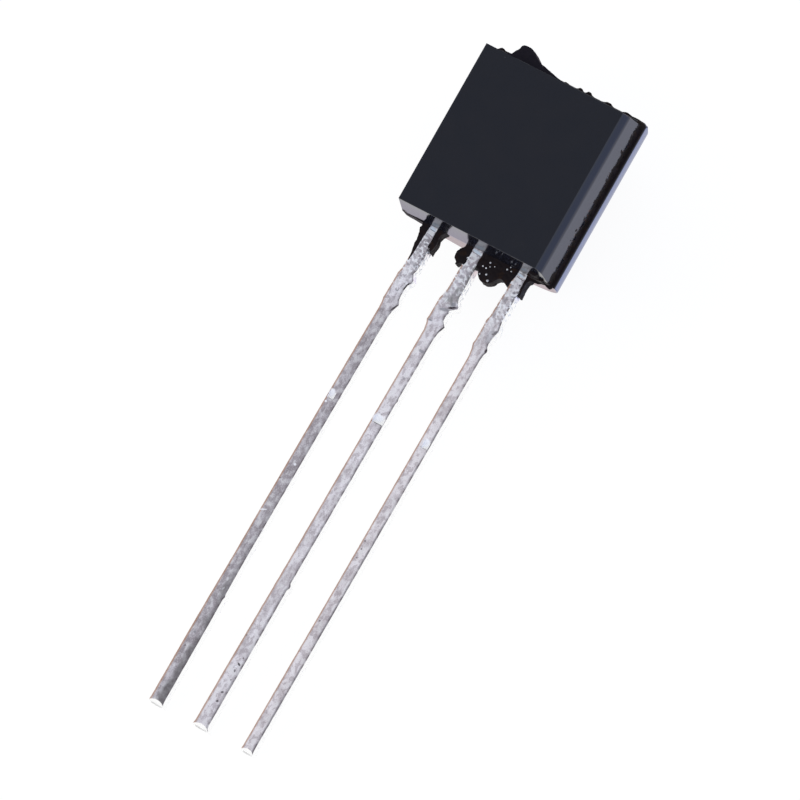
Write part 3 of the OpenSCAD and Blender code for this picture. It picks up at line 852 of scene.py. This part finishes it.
broken("emitter_left_wing", [(-1.45, ROOT), (-1.455, -0.05), (-1.44, -0.1), (-1.465, -0.16),
       (-1.42, -0.25), (-1.4, -0.35), (-1.385, -0.45), (-1.39, -0.55), (-1.37, -0.65), (-1.345, -0.75),
       (-1.335, -0.85), (-1.325, -0.97), (-1.3, -0.97), (-1.285, -0.8), (-1.275, -0.6), (-1.265, -0.4),
       (-1.255, -0.2), (-1.235, 0), (-1.23, ROOT)], WEB_BACK, WEB_FRONT, 0.012, 0.012, 0.01)
broken("emitter_right_wing", [(-1.05, ROOT), (-1.055, -0.3), (-1.05, -0.5), (-1.02, -0.51),
       (-0.99, -0.5), (-0.95, -0.57), (-0.93, -0.6), (-0.93, -0.5), (-0.915, -0.43), (-0.9, -0.33),
       (-0.91, -0.27), (-0.935, -0.2), (-0.91, -0.1), (-0.87, -0.04), (-0.83, 0), (-0.82, ROOT)],
       WEB_BACK, WEB_FRONT, 0.016, 0.014, 0.01)
broken("small_lump", [(-0.26, ROOT), (-0.26, -0.05), (-0.28, -0.1), (-0.34, -0.17), (-0.38, -0.25),
       (-0.385, -0.33), (-0.365, -0.42), (-0.31, -0.46), (-0.27, -0.5), (-0.28, -0.545), (-0.25, -0.54),
       (-0.2, -0.485), (-0.13, -0.47), (-0.07, -0.48), (-0.045, -0.4), (-0.05, ROOT)], WEB_BACK,
       WEB_FRONT, 0.02, 0.012, 0.01)
broken("large_lump", [(0.2, ROOT), (0.2, -0.39), (0.24, -0.42), (0.28, -0.4), (0.3, -0.43),
       (0.34, -0.52), (0.4, -0.585), (0.5, -0.63), (0.58, -0.635), (0.68, -0.6), (0.75, -0.54),
       (0.79, -0.46), (0.84, -0.39), (0.9, -0.37), (0.97, -0.4), (1.1, -0.46), (1.15, -0.3),
       (1.19, -0.12), (1.2, ROOT)], WEB_BACK, WEB_FRONT, 0.03, 0.012)
broken("base_right_wing", [(1.42, ROOT), (1.42, -0.38), (1.45, -0.42), (1.46, -0.5), (1.47, -0.55),
       (1.5, -0.53), (1.49, -0.4), (1.48, -0.25), (1.5, -0.14), (1.54, -0.1), (1.6, ROOT)], WEB_BACK,
       WEB_FRONT, 0.012, 0.014, 0.01)
print(len(flash), "pieces of flash")

# %% [markdown]
# All of it is one moulding, so the pieces are fused with Boolean modifiers, which keep each
# face's own finish. The leads pass through the resin, so nothing needs to be cut out for them.

# %% One moulding
body = front
body.name = body.data.name = "body_moulding"
for piece in [back] + flash:
    combine(body, piece, "UNION")
print("materials on the body:", [m.name for m in body.data.materials])
finish(body, ["body"], 28)

# %% [markdown]
# The lump between the middle lead and the base lead is full of small bubbles. Their glints are painted: pale
# beads sit where the bubbles' skins catch the light.

# %% Bubbles
BUBBLES = ((0.48, 0.1, 0.018), (0.48, -0.14, 0.022), (0.62, -0.18, 0.014), (0.52, -0.23, 0.02),
           (0.36, -0.29, 0.02), (0.45, -0.3, 0.022), (0.53, -0.43, 0.026), (0.38, -0.49, 0.022),
           (0.63, -0.55, 0.032), (0.84, 0.2, 0.014), (0.92, 0.04, 0.014), (1.03, 0.04, 0.014),
           (0.92, -0.1, 0.024), (1.03, -0.1, 0.02), (0.97, -0.02, 0.012))
# Painted highlights: the beads' pale colour stands for the glints of the bubbles.
material, tree, output = new_material("painted_bubble_glints")
place = package_place(tree)
shader = node(tree, "BsdfPrincipled", {
    "Base Color": blend(tree, spread(tree, mottle(tree, place, 0.1), 0.4, 0.6), (0.5, 0.5, 0.5), (1, 1, 1)),
}, Roughness=0.15, IOR=1.5)
tree.links.new(shader.outputs[0], output.inputs["Surface"])

bubbles = []
for x, y, radius in BUBBLES:
    bpy.ops.object.select_all(action="DESELECT")
    bpy.ops.mesh.primitive_ico_sphere_add(subdivisions=2, radius=radius, location=(x, y, WEB_FRONT),
                                          scale=(1, 1, 0.7))
    bubbles.append(begin("bubble"))
bubbles = join(bubbles, "resin_bubbles")
bubbles.data.materials.append(material)
finish(bubbles, [])

# %% [markdown]
# A lead is a strip of the stamped frame. Its outline runs up from the tip, past the two ragged
# points that the cut tie bar left on each side, to the barbs and the bonding post or paddle
# inside the body. The plate is cut across every tenth of a millimetre, so that its sheared edges
# can wander a little and it can stray sideways, as the real ones do.

# %% Outline of a lead
BARB_Y, BARB_H, BARB_OUT = 0.6, 0.26, 0.11
POST_W, POST_H, POST_Y = 0.58, 0.9, 1.5
PADDLE_W, PADDLE_H, PADDLE_Y, SHOULDER_H = 1.48, 2.1, 1.35, 0.32
TIP_FLARE = 0.018
half = LEAD_W / 2

# How far each point of an edge stands out of the lead, and its height, from the tip up
EDGES = {
    "emitter_lead": (
        [(0.0, -2.3), (0.01, -2.15), (0.035, -2.03), (0.03, -1.9), (0.03, -1.45), (0.035, -1.36),
         (0.004, -1.22)],
        [(0.0, -10.1), (0.02, -10.03), (0.0, -9.95), (0.0, -2.4), (0.02, -2.25), (0.055, -2.12),
         (0.088, -2.04), (0.07, -2.0), (0.03, -1.92), (0.012, -1.82), (0.012, -1.62), (0.03, -1.52),
         (0.075, -1.46), (0.09, -1.42), (0.088, -1.36), (0.03, -1.29), (0.005, -1.22), (0.035, -1.1),
         (0.045, -0.9), (0.02, -0.5)]),
    "collector_lead": (
        [(0.0, -2.25), (0.035, -2.07), (0.07, -2.0), (0.058, -1.9), (0.06, -1.6), (0.058, -1.42),
         (0.02, -1.28), (0.0, -1.15)],
        [(0.0, -9.2), (0.035, -9.12), (0.03, -9.07), (0.0, -9.02), (0.0, -4.12), (0.02, -4.05),
         (0.0, -3.98), (0.0, -2.4), (0.02, -2.2), (0.06, -2.08), (0.09, -1.99), (0.06, -1.96),
         (-0.01, -1.88), (-0.028, -1.78), (-0.02, -1.7), (0.005, -1.66), (-0.02, -1.6), (0.03, -1.55),
         (0.08, -1.51), (0.13, -1.475), (0.135, -1.44), (0.1, -1.39), (0.05, -1.29), (0.03, -1.2),
         (0.03, -0.9), (0.0, -0.4)]),
    "base_lead": (
        [(0.0, -2.3), (0.03, -2.12), (0.075, -2.0), (0.055, -1.88), (0.058, -1.55), (0.07, -1.37),
         (0.03, -1.25), (0.02, -0.9), (0.0, -0.5)],
        [(0.0, -2.3), (0.015, -2.14), (0.053, -2.05), (0.05, -2.0), (0.0, -1.93), (-0.015, -1.84),
         (0.005, -1.7), (0.025, -1.6), (0.053, -1.5), (0.05, -1.45), (0.02, -1.32), (0.0, -1.2),
         (0.0, -0.9)]),
}


def rim(name, side):
    """The left (0) or right (1) edge of a lead below the body, as distance from its middle line."""
    flare = TIP_FLARE * (2 if side else 1) * (1.5 if name == "collector_lead" else 1)
    return ([(half + flare, -LEAD_LEN), (half + flare / 3, -LEAD_LEN + 0.05), (half, -LEAD_LEN + 0.14)]
            + [(half + out, y) for out, y in EDGES[name][side]] + [(half, -0.2)])


def inner_rim(middle_lead):
    """The edge inside the body, with its barb and its post or paddle."""
    if middle_lead:
        low = BARB_Y - BARB_H
        return [(half, low), (half + BARB_OUT, low), (half + BARB_OUT, low + BARB_H), (half, low + BARB_H),
                (half, PADDLE_Y - SHOULDER_H), (PADDLE_W / 2, PADDLE_Y), (PADDLE_W / 2, PADDLE_Y + PADDLE_H)]
    return [(half, BARB_Y), (half + BARB_OUT, BARB_Y), (half + BARB_OUT, BARB_Y + BARB_H),
            (half, BARB_Y + BARB_H), (half, POST_Y), (POST_W / 2, POST_Y), (POST_W / 2, POST_Y + POST_H)]


def edge_at(points, y):
    """How far an edge is from the middle line at a height."""
    for (x0, y0), (x1, y1) in zip(points, points[1:]):
        if y <= y1:
            return x0 + (x1 - x0) * (y - y0) / (y1 - y0)
    return points[-1][0]


print("points on the right edge of the middle lead:", len(rim("collector_lead", 1)))

# %% Leads
GRIP_HOLE_R, GRIP_HOLE_DROP = 0.2, 0.42
NICK_Y, NICK_DEEP = -4.63, 0.06
SCOOP_R = 0.26
SLICE = 0.1


def nick(piece, low_x, high_x):
    """A small wedge pressed into the front face: it slopes in towards the tip and ends in a step."""
    wedge = plate("nick", [(low_x, NICK_Y - 0.11), (high_x, NICK_Y - 0.11), (high_x, NICK_Y + 0.13),
                           (low_x, NICK_Y + 0.13)], PARTING_Z - 0.001, PARTING_Z + 0.3)
    edit(wedge)
    pick("VERT", lambda at, vert: at.z < PARTING_Z + 0.1 and at.y < NICK_Y)
    slide((0, 0, -NICK_DEEP))
    done()
    combine(piece, wedge, "DIFFERENCE")


def drill(piece, radius, at, tilted=0.0):
    """Cuts a round hole along Z, or tilted towards Y."""
    bpy.ops.object.select_all(action="DESELECT")
    bpy.ops.mesh.primitive_cylinder_add(vertices=48, radius=radius, depth=2, location=at,
                                        rotation=(tilted, 0, 0))
    combine(piece, begin("drill"), "DIFFERENCE")


def stray(y, root, middle, tip):
    """How far a lead has strayed sideways at a height: a curve through three places."""
    t = -y / LEAD_LEN
    return root * (1 - t) * (1 - 2 * t) + middle * 4 * t * (1 - t) + tip * t * (2 * t - 1)


def make_lead(name, lead, width, lower_width, strays, nick_sides):
    """A lead at its pitch, -1 to 1. It is as wide as given, and wider low down."""
    left, right = (rim(name, side) + inner_rim(lead == 0) for side in (0, 1))
    piece = plate(name + "_metal", right + [(-x, y) for x, y in reversed(left)], -PARTING_Z, PARTING_Z)
    if lead == 0:
        drill(piece, GRIP_HOLE_R, (0, PADDLE_Y + PADDLE_H - GRIP_HOLE_DROP, 0))
    nick(piece, *nick_sides)
    # The tip was nipped off: a shallow scoop that runs out towards its back edge
    drill(piece, SCOOP_R, (0, -LEAD_LEN - SCOOP_R + 0.02, 0), -math.atan(0.13 / (2 * PARTING_Z)))
    edit(piece)
    y = -LEAD_LEN + 2 * SLICE
    while y < 0:
        cut((0, y, 0), (0, 1, 0), clear=False)
        y += SLICE
    done()
    from_left = piece.data.attributes.new("from_left", "FLOAT", "POINT")
    from_right = piece.data.attributes.new("from_right", "FLOAT", "POINT")
    for vertex, l, r in zip(piece.data.vertices, from_left.data, from_right.data):
        l.value = edge_at(left, vertex.co.y) + vertex.co.x
        r.value = edge_at(right, vertex.co.y) - vertex.co.x
    modify(piece, "BEVEL", width=0.012, segments=2, limit_method="ANGLE", angle_limit=math.radians(50))
    for vertex in piece.data.vertices:
        x, y, z = vertex.co
        if y < 0:
            seed = math.copysign(3, x) + lead * 9
            wander = 0.006 * noise.noise((seed, y * 3, 0)) + 0.005 * noise.noise((seed, y * 12, 1))
            low = max(0.0, min(1.0, (-y - 9) / 2))
            vertex.co.x = (x * (width + (lower_width - width) * low) / LEAD_W + math.copysign(wander, x)
                           + stray(y, *strays))
            vertex.co.z = z + 0.003 * noise.noise((lead * 5, y * 2.5, 2))
        else:
            vertex.co.x = x + strays[0] * max(0.0, 1 - y / BARB_Y)
    piece.data.transform(Matrix.Translation((FRAME_SHIFT, 0, 0)) @ Matrix.Rotation(-FRAME_TURN, 4, "Z")
                         @ Matrix.Translation((lead * PITCH, 0, 0)))
    piece.data.materials.clear()
    piece.data.materials.append(lead_tin[name])
    return piece


for name, piece in {
        "emitter_lead": make_lead("emitter_lead", -1, 0.305, 0.345, (0.05, 0.007, 0.035), (-0.14, 0.03)),
        "collector_lead": make_lead("collector_lead", 0, 0.32, 0.35, (-0.003, -0.012, -0.004), (-0.12, 0.15)),
        "base_lead": make_lead("base_lead", 1, 0.285, 0.29, (-0.038, 0.005, 0.019), (-0.04, 0.13))}.items():
    finish(piece, [name], 35)

# %% [markdown]
# The die, its solder and the two bond wires are sealed inside the body. They stay the CAD
# model's own solids and get plain metal and silicon finishes.

# %% Inside the body
def inner_finish(name, dark, light, size, metallic, rough):
    material, tree, output = new_material(name)
    place = package_place(tree)
    patches = mottle(tree, place, size)
    shader = node(tree, "BsdfPrincipled", {
        "Base Color": blend(tree, spread(tree, patches, 0.3, 0.7), dark, light),
        "Roughness": spread(tree, patches, 0.3, 0.7, rough, rough + 0.12),
        "Normal": bump(tree, mottle(tree, place, size / 4), 0.001),
    }, Metallic=metallic)
    tree.links.new(shader.outputs[0], output.inputs["Surface"])
    return material


solder = inner_finish("soft_solder", (0.5, 0.49, 0.47), (0.62, 0.61, 0.6), 0.08, 1.0, 0.35)
silicon = inner_finish("silicon", (0.1, 0.11, 0.15), (0.16, 0.17, 0.2), 0.12, 0.6, 0.12)
gold = inner_finish("gold_wire", (0.9, 0.6, 0.22), (1.0, 0.74, 0.33), 0.05, 1.0, 0.2)
for name, material in (("die_solder", solder), ("silicon_die", silicon), ("emitter_bond_wire", gold),
                       ("base_bond_wire", gold)):
    data = frame["nodes"][name].data
    data.materials.clear()
    data.materials.append(material)
print("inner finishes:", solder.name, silicon.name, gold.name)
